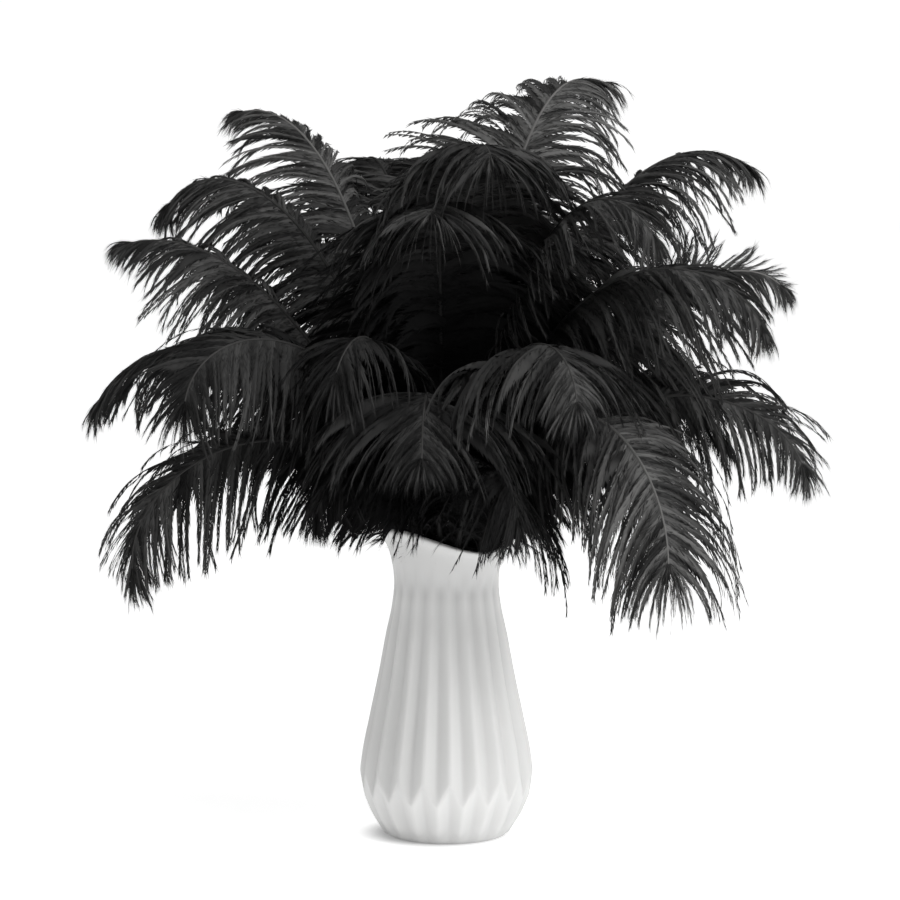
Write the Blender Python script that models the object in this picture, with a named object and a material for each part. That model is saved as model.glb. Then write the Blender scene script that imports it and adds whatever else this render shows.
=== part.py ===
"""Black ostrich plumes standing in a white fluted ceramic vase.

The origin is the centre of the vase's foot, on the surface that it stands on.
+Z is up, -Y is the front and +X is the viewer's right. Angles round the vase
are in degrees from +X, towards +Y. Lengths are in millimetres, which
make_object turns into metres.
"""

import math
from dataclasses import dataclass

import bmesh
import bpy
from mathutils import Vector
from mathutils.bvhtree import BVHTree

MM = 0.001
UP = Vector((0.0, 0.0, 1.0))

# --- Vase -----------------------------------------------------------------

FLUTES = 20
FLUTE_TURN = 2.4  # a ridge stands this far round from +X
FOOT_RADIUS = 42.7
FOOT_CHAMFER = 1.5
LOWER_FLUTE_DEPTH = 3.0
CREASE_RIDGE = (61.2, 44.0)  # radius, height where an upper ridge ends
CREASE_VALLEY = (59.2, 29.5)  # radius, height where an upper valley ends
# The upper ridges' profile and how deep the valleys lie beside them
BODY = (
    # height, ridge radius, flute depth
    (58.0, 59.5, 5.0),
    (86.0, 53.9, 4.8),
    (114.0, 48.0, 4.2),
    (142.0, 42.7, 3.2),
    (163.0, 38.2, 1.4),
)
NECK_HEIGHT = 177.0
NECK_RADIUS = 36.8
# The flare, from the neck up: share of the way to the rim, radius
FLARE = ((0.45, 38.4), (0.8, 42.2), (0.97, 45.6))
LIP_TOP_RADIUS = 44.4
RIM_HEIGHT = 210.5
RIM_WAVE = 7.5  # the rim rises and falls this much, twice round
RIM_WAVE_TURN = 40.0  # a rim peak stands here, the other one opposite
# The inside, from the rim down: share of the way from neck to rim, radius
INNER_FLARE = ((0.97, 41.4), (0.45, 34.2))
INNER_NECK_RADIUS = 32.4
INNER_BODY = ((130.0, 38.0), (86.0, 44.5), (44.0, 51.5), (20.0, 46.0))
FLOOR_HEIGHT = 8.0
FLOOR_RADIUS = 38.0

# --- Quills and vanes -----------------------------------------------------

OUTER_RING = (28.0, 22)  # radius at the neck, places round it
INNER_RING = (19.0, 7)
NECK_LEVEL = 180.0  # the quills are placed at this height
QUILL_LEAN = 6.0  # degrees that each quill leans round the ring below the neck
QUILL_FOOT_GAP = 0.5  # between a quill's end and the vase's floor
QUILL_RADIUS = 2.0
QUILL_TIP_RADIUS = 0.7
CURVE_STEPS = 400  # the fine steps in which a quill's curve is measured
RING_POINTS = 8
BARE_RINGS = 3  # at the quill's foot, at the neck and under the vane
SIDE_FOLLOW = 0.7  # how much of its seat's offset a quill keeps on leaving
RACHIS_END = 0.93  # share of the curve that the quill runs, barbs reach on
BARE_LEVEL = 203.0  # the quill is bare up to the vane, with one ring here
VANE_LEVEL = 226.0  # the vane starts at this height
VANE_STATIONS = 14
VANE_THICKNESS = 1.3  # at the middle of a barb
BARB_STEPS = 12
BARB_FALL_POWER = 1.1  # how late along the barb its droop sets in
BARB_OPEN = 64.0  # degrees between barb and quill along most of the plume
BARB_OPEN_TIP = 12.0  # and at the very tip
BARB_LEAN = 0.15  # how far the barbs lean to the plume's underside from the start
BARB_CLOSE_FROM = 0.72  # share of the length where the barbs start to close
BARB_SHRINK_FROM = 0.65
BARB_FIRST = 0.5  # share of the full length at the vane's start
BARB_FULL_AT = 0.3
LOCK_SHARE = 0.86  # every second lock is this much shorter
SHORTEST_BARB = 2.4
SIDES = (1.0, -1.0)  # the two vanes: along the side direction and against it

# --- Room between the pieces ----------------------------------------------

BARB_ROOM = 3.0  # a barb stops this far from any other piece
TEST_SWELL = 0.6  # vanes are swollen this much while they are tested
QUILL_ROOM = 1.0  # kept free round a bare quill
VANE_ROOM = 4.0  # kept free round the quill where its vane will start
SHRINK = 0.85
MOST_TRIES = 40


@dataclass(frozen=True)
class Plume:
    """One plume: where it stands, how it arches and how its vane hangs.

    The quill follows a curve in the upright plane of its heading. Its three
    points are (out from the vase's axis, height), in millimetres. A roll of so
    many degrees lifts the first vane and lowers the second.
    """

    name: str
    heading: float
    ring: tuple
    seat: int
    lift: tuple
    crest: tuple
    tip: tuple
    barb: float = 70.0
    droop: float = 0.55
    tip_share: float = 0.35
    roll: float = 0.0


# In this order the plumes take their room, so the front ones keep theirs.
PLUMES = (
    Plume("plume_front_right", 300, OUTER_RING, 18, (40, 390), (180, 375), (170, 300),
          barb=80, tip_share=0.8),
    Plume("plume_front_centre", 264, OUTER_RING, 16, (50, 350), (160, 345), (150, 262),
          barb=80, tip_share=0.8),
    Plume("plume_left_front", 220, OUTER_RING, 14, (60, 400), (235, 375), (222, 300),
          barb=75, droop=0.65, tip_share=0.6, roll=-15),
    Plume("plume_centre_tall", 265, INNER_RING, 5, (30, 330), (20, 500), (125, 425),
          barb=82, droop=0.5, tip_share=0.8),
    Plume("plume_crown_front", 288, INNER_RING, 6, (22, 360), (28, 545), (112, 462),
          barb=82, droop=0.6, tip_share=0.8),
    Plume("plume_right_low", 318, OUTER_RING, 19, (70, 390), (215, 290), (195, 185),
          barb=84, droop=0.7, tip_share=0.5, roll=40),
    Plume("plume_left_low", 188, OUTER_RING, 12, (60, 354), (249, 264), (215, 172),
          barb=76, droop=0.65, tip_share=0.4, roll=-25),
    Plume("plume_right_front_high", 340, OUTER_RING, 20, (40, 440), (215, 430), (230, 345),
          barb=76, droop=0.65, roll=20),
    Plume("plume_crown_back", 42, INNER_RING, 1, (26, 400), (84, 580), (162, 518),
          barb=78, droop=0.4, tip_share=0.6, roll=20),
    Plume("plume_left_top", 150, INNER_RING, 3, (35, 330), (85, 552), (190, 500),
          tip_share=0.45, roll=-35),
    Plume("plume_right_top", 28, OUTER_RING, 2, (48, 415), (185, 530), (262, 457), roll=25),
    Plume("plume_left_high", 172, OUTER_RING, 11, (35, 420), (165, 515), (206, 426),
          droop=0.7, roll=-30),
    Plume("plume_right_high", 5, OUTER_RING, 0, (55, 350), (212, 438), (243, 374),
          barb=72, droop=0.65, tip_share=0.3, roll=45),
    Plume("plume_left_middle", 192, OUTER_RING, 13, (55, 330), (160, 450), (234, 410),
          roll=-25),
    Plume("plume_right_middle", 355, OUTER_RING, 21, (62, 350), (242, 332), (251, 246),
          droop=0.65, roll=35),
    Plume("plume_left_far", 165, OUTER_RING, 10, (66, 385), (244, 365), (265, 285),
          roll=-20),
    Plume("plume_right_inner", 325, INNER_RING, 0, (30, 430), (130, 500), (178, 405),
          roll=15),
    Plume("plume_left_inner", 242, INNER_RING, 4, (40, 360), (130, 390), (160, 320),
          droop=0.7, tip_share=0.6),
    Plume("plume_right_small", 10, OUTER_RING, 1, (58, 335), (170, 355), (205, 262)),
    Plume("plume_rim_right", 292, OUTER_RING, 17, (52, 292), (122, 282), (130, 225),
          tip_share=0.6),
    Plume("plume_rim_left", 225, OUTER_RING, 15, (50, 295), (117, 280), (125, 225),
          tip_share=0.6),
    Plume("plume_back_tall", 97, INNER_RING, 2, (30, 400), (100, 540), (190, 445),
          tip_share=0.6),
    Plume("plume_back_right_high", 72, OUTER_RING, 5, (50, 380), (185, 460), (235, 355),
          tip_share=0.6),
    Plume("plume_back_left_high", 112, OUTER_RING, 7, (40, 400), (130, 555), (205, 430),
          tip_share=0.6),
    Plume("plume_back_left_middle", 142, OUTER_RING, 9, (60, 360), (225, 375), (255, 300)),
    Plume("plume_back_right_middle", 45, OUTER_RING, 3, (60, 360), (225, 375), (250, 300)),
    Plume("plume_back_low", 92, OUTER_RING, 6, (60, 345), (230, 312), (235, 215),
          tip_share=0.6),
    Plume("plume_back_left_low", 125, OUTER_RING, 8, (60, 335), (210, 335), (235, 255)),
    Plume("plume_back_right_low", 60, OUTER_RING, 4, (58, 345), (210, 335), (225, 250)),
)


# --- Small helpers --------------------------------------------------------


def polar(radius, degrees, height):
    """A point at a radius and an angle round the vase's axis."""
    angle = math.radians(degrees)
    return Vector((radius * math.cos(angle), radius * math.sin(angle), height))


def ease(share):
    """Goes from 0 to 1 with a soft start and a soft end."""
    share = min(max(share, 0.0), 1.0)
    return share * share * (3.0 - 2.0 * share)


def blend(first, second, share):
    """The value that lies this share of the way from first to second."""
    return first + (second - first) * share


def loft(rings):
    """A closed mesh through rings of points, with both ends filled.

    Every ring has as many points as the others, in the same turn, seen from
    the last ring counter-clockwise. A ring of one point closes an end.
    """
    mesh = bmesh.new()
    rows = [[mesh.verts.new(point) for point in ring] for ring in rings]
    for lower, upper in zip(rows, rows[1:]):
        join_rows(mesh, lower, upper)
    if len(rows[0]) > 1:
        mesh.faces.new(rows[0][::-1])
    if len(rows[-1]) > 1:
        mesh.faces.new(rows[-1])
    bmesh.ops.triangulate(mesh, faces=mesh.faces, quad_method="SHORT_EDGE")
    mesh.verts.index_update()
    mesh.faces.index_update()
    return mesh


def join_rows(mesh, lower, upper):
    """Faces between two rows of vertices, either of which may be one point."""
    count = max(len(lower), len(upper))
    for i in range(count):
        j = (i + 1) % count
        if len(lower) == 1:
            mesh.faces.new((lower[0], upper[j], upper[i]))
        elif len(upper) == 1:
            mesh.faces.new((lower[i], lower[j], upper[0]))
        else:
            mesh.faces.new((lower[i], lower[j], upper[j], upper[i]))


# --- The vase -------------------------------------------------------------


def rim_level(degrees):
    """The wavy rim's height at an angle."""
    return RIM_HEIGHT + RIM_WAVE * math.cos(math.radians(2.0 * (degrees - RIM_WAVE_TURN)))


def vase_ring(place):
    """One ring of the vase, place(is_ridge) giving (radius, height or share)."""
    points = []
    for i in range(2 * FLUTES):
        degrees = FLUTE_TURN + i * 180.0 / FLUTES
        radius, height, is_share = place(i % 2 == 0)
        if is_share:
            height = blend(NECK_HEIGHT, rim_level(degrees), height)
        points.append(polar(radius, degrees, height))
    return points


def level_ring(ridge_radius, valley_radius, height):
    """A ring at one height."""
    return vase_ring(lambda ridge: (ridge_radius if ridge else valley_radius, height, False))


def flare_ring(share, radius):
    """A round ring that follows the rim's wave by its share of the flare."""
    return vase_ring(lambda ridge: (radius, share, True))


def vase_rings():
    """The vase's rings: up the outside, over the lip and down the inside."""
    lower_ridge = FOOT_RADIUS + FOOT_CHAMFER
    lower_valley = lower_ridge - LOWER_FLUTE_DEPTH / 2.0
    mid_height = CREASE_VALLEY[1] / 2.0
    mid_ridge = blend(lower_ridge, CREASE_VALLEY[0], 0.5) + 1.0
    foot = FOOT_RADIUS - FOOT_CHAMFER
    rings = [
        [Vector((0.0, 0.0, 0.0))],
        level_ring(foot, foot, 0.0),
        level_ring(lower_valley, lower_ridge, FOOT_CHAMFER),
        level_ring(mid_ridge - LOWER_FLUTE_DEPTH, mid_ridge, mid_height),
        vase_ring(lambda ridge: (*(CREASE_RIDGE if ridge else CREASE_VALLEY), False)),
    ]
    rings += [level_ring(radius, radius - depth, height) for height, radius, depth in BODY]
    rings.append(level_ring(NECK_RADIUS, NECK_RADIUS, NECK_HEIGHT))
    rings += [flare_ring(share, radius) for share, radius in FLARE]
    rings.append(flare_ring(1.0, LIP_TOP_RADIUS))
    rings += [flare_ring(share, radius) for share, radius in INNER_FLARE]
    rings.append(level_ring(INNER_NECK_RADIUS, INNER_NECK_RADIUS, NECK_HEIGHT))
    rings += [level_ring(radius, radius, height) for height, radius in INNER_BODY]
    rings.append(level_ring(FLOOR_RADIUS, FLOOR_RADIUS, FLOOR_HEIGHT))
    rings.append([Vector((0.0, 0.0, FLOOR_HEIGHT))])
    return rings


# --- A plume's lines ------------------------------------------------------


class Lines:
    """The places along one plume's quill and the run of its barbs."""

    def __init__(self, plume):
        self.plume = plume
        self.out = polar(1.0, plume.heading, 0.0)
        self.side = polar(1.0, plume.heading + 90.0, 0.0)
        radius, places = plume.ring
        self.seat_angle = plume.seat * 360.0 / places
        self.seat = polar(radius, self.seat_angle, NECK_LEVEL)
        self.curve = self.fine_curve()

    def handle(self, point, sideways):
        """A point of the quill's plane, moved sideways."""
        return self.out * point[0] + UP * point[1] + self.side * sideways

    def fine_curve(self):
        """The curve's points above the neck, close together."""
        plume = self.plume
        first = self.handle(plume.lift, self.seat.dot(self.side) * SIDE_FOLLOW)
        second = self.handle(plume.crest, 0.0)
        last = self.handle(plume.tip, 0.0)
        points = []
        for i in range(CURVE_STEPS + 1):
            t = RACHIS_END * i / CURVE_STEPS
            r = 1.0 - t
            points.append(
                self.seat * r**3 + first * 3 * r * r * t + second * 3 * r * t * t + last * t**3
            )
        return points

    def foot(self):
        """Where the quill stands just over the vase's floor."""
        round_ring = polar(1.0, self.seat_angle + 90.0, 0.0)
        drop = NECK_LEVEL - FLOOR_HEIGHT - QUILL_FOOT_GAP
        return self.seat - UP * drop - round_ring * drop * math.tan(math.radians(QUILL_LEAN))

    def below_neck(self):
        """Sideways and upper directions of the straight quill in the vase."""
        return self.rolled((self.seat - self.foot()).normalized())[1:]

    def rolled(self, tangent):
        """Tangent, sideways and upper directions for one run of the quill."""
        level = (self.side - tangent * self.side.dot(tangent)).normalized()
        over = tangent.cross(level)
        roll = math.radians(self.plume.roll)
        side = level * math.cos(roll) + over * math.sin(roll)
        return tangent, side, tangent.cross(side)

    def index_at_level(self, level):
        """The curve's first point at or over a height."""
        return next(i for i, point in enumerate(self.curve) if point.z >= level)

    def stations(self):
        """Curve indices of the vane's stations, evenly spaced."""
        first, last = self.index_at_level(VANE_LEVEL), len(self.curve) - 1
        lengths = [0.0]
        for i in range(first, last):
            lengths.append(lengths[-1] + (self.curve[i + 1] - self.curve[i]).length)
        wanted = [lengths[-1] * k / (VANE_STATIONS - 1) for k in range(VANE_STATIONS)]
        found, k = [], 0
        for i, length in enumerate(lengths):
            while k < VANE_STATIONS and length >= wanted[k] - 1e-6:
                found.append(first + i)
                k += 1
        return found

    def axes(self, index):
        """Tangent, sideways and upper directions at a curve index."""
        before = self.curve[max(index - 1, 0)]
        after = self.curve[min(index + 1, len(self.curve) - 1)]
        return self.rolled((after - before).normalized())

    def barb(self, index, share, sign, length):
        """A barb's points from the quill out, for one side of the vane."""
        tangent, side, upper = self.axes(index)
        close = ease((share - BARB_CLOSE_FROM) / (1.0 - BARB_CLOSE_FROM))
        angle = math.radians(blend(BARB_OPEN, BARB_OPEN_TIP, close))
        start = tangent * math.cos(angle) + side * sign * math.sin(angle) - upper * BARB_LEAN
        start.normalize()
        points = [self.curve[index].copy()]
        for i in range(BARB_STEPS):
            fall = self.plume.droop * ((i + 0.5) / BARB_STEPS) ** BARB_FALL_POWER
            way = (start * (1.0 - fall) - UP * fall).normalized()
            points.append(points[-1] + way * length / BARB_STEPS)
        return points

    def full_length(self, share):
        """How long a barb is with nothing in its way."""
        rise = blend(BARB_FIRST, 1.0, ease(share / BARB_FULL_AT))
        shrink = ease((share - BARB_SHRINK_FROM) / (1.0 - BARB_SHRINK_FROM))
        return self.plume.barb * rise * blend(1.0, self.plume.tip_share, shrink)


# --- A plume's solid ------------------------------------------------------


def quill_ring(centre, side, upper, radius):
    """Eight points round the quill, starting at the first vane's side."""
    turns = [360.0 * i / RING_POINTS for i in range(RING_POINTS)]
    return [
        centre
        + side * radius * math.cos(math.radians(turn))
        + upper * radius * math.sin(math.radians(turn))
        for turn in turns
    ]


def vane_ring(lines, index, share, lengths, swell):
    """Eight points of the quill and both vanes at one station."""
    tangent, side, upper = lines.axes(index)
    centre = lines.curve[index]
    radius = blend(QUILL_RADIUS, QUILL_TIP_RADIUS, share) + swell
    half = VANE_THICKNESS / 2.0 + swell
    edges, tops, bottoms = [], [], []
    for sign, length in zip(SIDES, lengths):
        barb = lines.barb(index, share, sign, length + 2.0 * swell)
        middle, end = barb[BARB_STEPS // 2], barb[-1]
        across = (end - barb[0]).normalized()
        normal = tangent.cross(across) * sign
        normal = upper if normal.length < 0.1 else normal.normalized()
        edges.append(end)
        tops.append(middle + normal * half)
        bottoms.append(middle - normal * half)
    ridge, keel = centre + upper * radius, centre - upper * radius
    return [edges[0], tops[0], ridge, tops[1], edges[1], bottoms[1], keel, bottoms[0]]


def plume_mesh(lines, lengths, swell=0.0):
    """The plume's closed mesh: bare quill, then both vanes."""
    stations = lines.stations()
    bare = lines.index_at_level(BARE_LEVEL)
    radius = QUILL_RADIUS + swell
    rings = [
        quill_ring(lines.foot(), *lines.below_neck(), radius),
        quill_ring(lines.curve[0], *lines.axes(0)[1:], radius),
        quill_ring(lines.curve[bare], *lines.axes(bare)[1:], radius),
    ]
    for k, index in enumerate(stations):
        share = k / (VANE_STATIONS - 1)
        rings.append(vane_ring(lines, index, share, lengths[k], swell))
    return loft(rings)


def tree_of(mesh):
    """A search tree of a mesh's faces."""
    return BVHTree.FromBMesh(mesh)


def kept_room(lines):
    """A search tree round a quill whose vane isn't made yet."""
    bare = lines.index_at_level(BARE_LEVEL)
    radius = QUILL_RADIUS + QUILL_ROOM
    rings = [
        quill_ring(lines.foot(), *lines.below_neck(), radius),
        quill_ring(lines.curve[0], *lines.axes(0)[1:], radius),
        quill_ring(lines.curve[bare], *lines.axes(bare)[1:], radius),
    ]
    for index in lines.stations():
        rings.append(quill_ring(lines.curve[index], *lines.axes(index)[1:], VANE_ROOM))
    mesh = loft(rings)
    tree = tree_of(mesh)
    mesh.free()
    return tree


def free_lengths(lines, others):
    """Barb lengths that stop short of the other pieces."""
    lengths = []
    for k, index in enumerate(lines.stations()):
        share = k / (VANE_STATIONS - 1)
        lock = 1.0 if k % 2 or k == VANE_STATIONS - 1 else LOCK_SHARE
        full = lines.full_length(share) * lock
        pair = []
        for sign in SIDES:
            points = lines.barb(index, share, sign, full)
            free = 1
            while free < BARB_STEPS and has_room(points[free + 1], others):
                free += 1
            pair.append(max(full * free / BARB_STEPS, SHORTEST_BARB))
        lengths.append(pair)
    return lengths


def has_room(point, others):
    """Whether a point is far enough from every other piece."""
    return all(tree.find_nearest(point, BARB_ROOM)[0] is None for tree in others)


def shrink_until_clear(lines, lengths, others):
    """Shortens the barbs near any face that still meets another one."""
    for _ in range(MOST_TRIES):
        swollen = plume_mesh(lines, lengths, TEST_SWELL)
        swollen.faces.ensure_lookup_table()
        tree = tree_of(swollen)
        meeting = {pair[0] for other in others for pair in tree.overlap(other)}
        meeting |= crossing_itself(swollen, tree)
        places = {row_and_side(swollen.faces[i], lines) for i in meeting}
        swollen.free()
        if not meeting:
            return True
        for row, column in places:
            for near in (row, row + 1):
                if 0 <= near < VANE_STATIONS:
                    length = lengths[near][column] * SHRINK
                    lengths[near][column] = max(length, SHORTEST_BARB)
    return False


def crossing_itself(mesh, tree):
    """The faces that cross another face of their own mesh, not a neighbour."""
    crossing = set()
    for first, second in tree.overlap(tree):
        if not set(mesh.faces[first].verts) & set(mesh.faces[second].verts):
            crossing.add(first)
    return crossing


def row_and_side(face, lines):
    """The vane's station before a face, and which vane the face is on."""
    lowest = min(vertex.index for vertex in face.verts)
    row = lowest // RING_POINTS - BARE_RINGS
    station = lines.stations()[min(max(row, 0), VANE_STATIONS - 1)]
    side = lines.axes(station)[1]
    offset = face.calc_center_median() - lines.curve[station]
    return row, 0 if offset.dot(side) > 0.0 else 1


# --- Objects --------------------------------------------------------------


def clear_scene():
    """Removes every object that the file holds."""
    for old in list(bpy.data.objects):
        bpy.data.objects.remove(old, do_unlink=True)


def make_material(name, colour, roughness):
    """A Principled material of one colour."""
    material = bpy.data.materials.new(name)
    material.use_nodes = True
    shader = material.node_tree.nodes["Principled BSDF"]
    shader.inputs["Base Color"].default_value = (*colour, 1.0)
    shader.inputs["Roughness"].default_value = roughness
    shader.inputs["Metallic"].default_value = 0.0
    return material


def make_object(name, mesh, place, material, parent, sharp_angle):
    """An object in metres with its origin at a place given in millimetres."""
    bmesh.ops.translate(mesh, verts=mesh.verts, vec=-place)
    bmesh.ops.scale(mesh, verts=mesh.verts, vec=(MM, MM, MM))
    data = bpy.data.meshes.new(name)
    mesh.to_mesh(data)
    mesh.free()
    data.shade_smooth()
    data.set_sharp_from_angle(angle=math.radians(sharp_angle))
    data.materials.append(material)
    thing = bpy.data.objects.new(name, data)
    thing.location = place * MM
    thing.parent = parent
    bpy.context.scene.collection.objects.link(thing)
    return thing


def build_vase(parent):
    """The vase, and a search tree of it for the plumes."""
    mesh = loft(vase_rings())
    tree = tree_of(mesh)
    glaze = make_material("white_ceramic", (0.82, 0.82, 0.81), 0.35)
    make_object("vase", mesh, Vector(), glaze, parent, 30.0)
    return tree


def build_plumes(vase_tree, parent):
    """All plumes, each of which leaves the room that the ones before took."""
    lines = {plume.name: Lines(plume) for plume in PLUMES}
    trees = {name: kept_room(line) for name, line in lines.items()}
    for plume in PLUMES:
        line = lines[plume.name]
        others = [vase_tree] + [tree for name, tree in trees.items() if name != plume.name]
        lengths = free_lengths(line, others)
        if not shrink_until_clear(line, lengths, others):
            raise ValueError(f"{plume.name} still meets another piece or itself")
        mesh = plume_mesh(line, lengths)
        trees[plume.name] = tree_of(mesh)
        black = make_material(f"{plume.name}_black", (0.012, 0.012, 0.013), 0.75)
        make_object(plume.name, mesh, line.seat, black, parent, 40.0)


def main():
    """Builds the vase with its plumes under one empty."""
    clear_scene()
    root = bpy.data.objects.new("arrangement", None)
    bpy.context.scene.collection.objects.link(root)
    vase_tree = build_vase(root)
    build_plumes(vase_tree, root)


main()
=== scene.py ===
"""Black ostrich plumes in a white fluted vase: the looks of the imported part.

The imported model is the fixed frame: origin at the centre of the vase's foot,
+Z up, -Y to the front, +X to the viewer's right. Every plume is one mesh, a
quill with its barbs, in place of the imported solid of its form. The lengths of
the plumes and of the vase are in millimetres, which mesh_object turns into
metres. The studio's places are in metres. Angles are in degrees.
"""

import logging
import math
from dataclasses import dataclass
from enum import Enum

import bpy
import numpy as np
from mathutils import Euler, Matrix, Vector


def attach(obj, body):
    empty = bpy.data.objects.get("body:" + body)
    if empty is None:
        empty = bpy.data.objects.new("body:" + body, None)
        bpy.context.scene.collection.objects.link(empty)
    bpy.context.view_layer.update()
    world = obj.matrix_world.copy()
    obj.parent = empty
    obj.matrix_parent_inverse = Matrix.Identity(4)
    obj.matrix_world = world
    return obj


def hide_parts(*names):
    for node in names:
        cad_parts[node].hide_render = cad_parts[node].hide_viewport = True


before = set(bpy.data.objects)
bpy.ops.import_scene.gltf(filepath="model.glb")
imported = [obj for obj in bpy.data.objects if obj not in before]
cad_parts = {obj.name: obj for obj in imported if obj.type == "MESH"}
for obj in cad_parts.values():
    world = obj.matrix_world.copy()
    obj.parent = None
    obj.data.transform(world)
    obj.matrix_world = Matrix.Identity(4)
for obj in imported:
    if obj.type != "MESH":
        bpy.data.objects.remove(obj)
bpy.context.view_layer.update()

BODY = "root"
MM = 0.001
UP = np.array((0.0, 0.0, 1.0))
log = logging.getLogger("plumes")


# --- Numbers and meshes ---------------------------------------------------


def ease(share: np.ndarray) -> np.ndarray:
    """Goes from 0 to 1 with a soft start and a soft end."""
    share = np.clip(share, 0.0, 1.0)
    return share * share * (3.0 - 2.0 * share)


def unit(vectors: np.ndarray) -> np.ndarray:
    """Each vector at length 1."""
    return vectors / np.maximum(np.linalg.norm(vectors, axis=-1, keepdims=True), 1e-9)


def between(ends: tuple, share: np.ndarray | float) -> np.ndarray | float:
    """The value at a share of the way from the first end to the second."""
    return ends[0] + (ends[1] - ends[0]) * share


def swung(first: np.ndarray, second: np.ndarray, angle: np.ndarray) -> np.ndarray:
    """Directions at angles in radians from the first towards the second."""
    return first * np.cos(angle)[..., None] + second * np.sin(angle)[..., None]


def polar(radius: float, degrees: float, height: float) -> np.ndarray:
    """A point at a radius and an angle round the vase's axis."""
    angle = math.radians(degrees)
    return np.array((radius * math.cos(angle), radius * math.sin(angle), height))


def along(points: np.ndarray, count: int) -> np.ndarray:
    """Points at even distances on lines.

    Args:
        points: Lines of points, of shape (lines, points, 3).
        count: How many points each line gets.

    Returns:
        The new points, of shape (lines, count, 3).
    """
    place = np.linspace(0.0, points.shape[1] - 1.0, count)
    low = np.minimum(place.astype(int), points.shape[1] - 2)
    share = (place - low)[None, :, None]
    return points[:, low] * (1.0 - share) + points[:, low + 1] * share


def triangles(corners: tuple) -> np.ndarray:
    """Triangles from sets of three arrays, which hold the corners' numbers."""
    return np.concatenate([np.stack(three, -1).reshape(-1, 3) for three in corners])


def skin(grid: np.ndarray, ends: tuple) -> np.ndarray:
    """The triangles of a tube that a point closes at either end.

    Args:
        grid: The numbers of its points, a row for each ring.
        ends: The numbers of the two points at its ends.

    Returns:
        The triangles, of shape (count, 3).
    """
    a, b = grid[:-1], np.roll(grid[:-1], -1, 1)
    c, d = np.roll(grid[1:], -1, 1), grid[1:]
    start, end = (np.full(grid.shape[1], number) for number in ends)
    return triangles(((a, b, c), (a, c, d), (b[0], a[0], start), (d[-1], c[-1], end)))


@dataclass
class Surface:
    """Points in millimetres, triangles, a place on the map for each point.

    The map gives every strip its own row, so that nothing overlaps on it. Tone,
    run and core are what the shaders read at each point:
    core is painted light on the barbs and painted shade on the glaze.
    """

    points: np.ndarray
    faces: np.ndarray
    uv: np.ndarray
    tone: np.ndarray
    run: np.ndarray
    core: np.ndarray
    finish: int = 0


def joined(parts: list[Surface]) -> tuple[Surface, np.ndarray]:
    """One surface from several, and the finish of each of its triangles.

    Args:
        parts: The surfaces, each of one finish.

    Returns:
        The surface, and for each triangle the number of its finish.
    """
    start, faces, finishes = 0, [], []
    for part in parts:
        faces.append(part.faces + start)
        finishes.append(np.full(len(part.faces), part.finish))
        start += len(part.points)
    points, uv, tone, run, core = (
        np.concatenate([getattr(part, key) for part in parts])
        for key in ("points", "uv", "tone", "run", "core")
    )
    return Surface(points, np.concatenate(faces), uv, tone, run, core), np.concatenate(finishes)


def linked(name: str, data: bpy.types.ID) -> bpy.types.Object:
    """A new object of the scene.

    Args:
        name: The object's name.
        data: Its mesh, light or camera.

    Returns:
        The object, at the origin.
    """
    thing = bpy.data.objects.new(name, data)
    bpy.context.scene.collection.objects.link(thing)
    return thing


def mesh_object(
    name: str, surface: Surface, finishes: np.ndarray, materials: list[bpy.types.Material]
) -> bpy.types.Object:
    """An object in metres at the origin, shaded smooth.

    Args:
        name: The piece's name.
        surface: Its points, triangles, map and tones.
        finishes: For each triangle the number of its material.
        materials: The materials of its slots.

    Returns:
        The new object, linked to the scene.
    """
    mesh = bpy.data.meshes.new(name)
    count = len(surface.faces)
    mesh.vertices.add(len(surface.points))
    mesh.vertices.foreach_set("co", (surface.points * MM).astype(np.float32).ravel())
    mesh.loops.add(count * 3)
    mesh.loops.foreach_set("vertex_index", surface.faces.astype(np.int32).ravel())
    mesh.polygons.add(count)
    mesh.polygons.foreach_set("loop_start", np.arange(0, count * 3, 3, dtype=np.int32))
    mesh.polygons.foreach_set("material_index", finishes.astype(np.int32))
    mesh.update(calc_edges=True)
    mesh.shade_smooth()
    layer = mesh.uv_layers.new(name="OFBake")
    layer.data.foreach_set("uv", surface.uv[surface.faces.ravel()].astype(np.float32).ravel())
    # The core attribute carries the painted light on the barbs and the painted shade on the glaze.
    for key in ("tone", "run", "core"):
        attribute = mesh.attributes.new(key, "FLOAT", "POINT")
        attribute.data.foreach_set("value", getattr(surface, key).astype(np.float32))
    for material in materials:
        mesh.materials.append(material)
    return linked(name, mesh)


# --- Shaders --------------------------------------------------------------


class Socket:
    """A socket of a node, with which Python's sums add Math nodes."""

    def __init__(self, graph: "Graph", socket: bpy.types.NodeSocket) -> None:
        """Keeps the graph that the socket is in."""
        self.graph = graph
        self.socket = socket

    def __add__(self, other: "Socket | float") -> "Socket":
        """This plus another."""
        return self.graph.math("ADD", self, other)

    __radd__ = __add__

    def __mul__(self, other: "Socket | float") -> "Socket":
        """This times another."""
        return self.graph.math("MULTIPLY", self, other)

    __rmul__ = __mul__

    def __sub__(self, other: "Socket | float") -> "Socket":
        """This less another."""
        return self.graph.math("SUBTRACT", self, other)

    def __rsub__(self, other: float) -> "Socket":
        """A number less this."""
        return self.graph.math("SUBTRACT", other, self)


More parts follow.
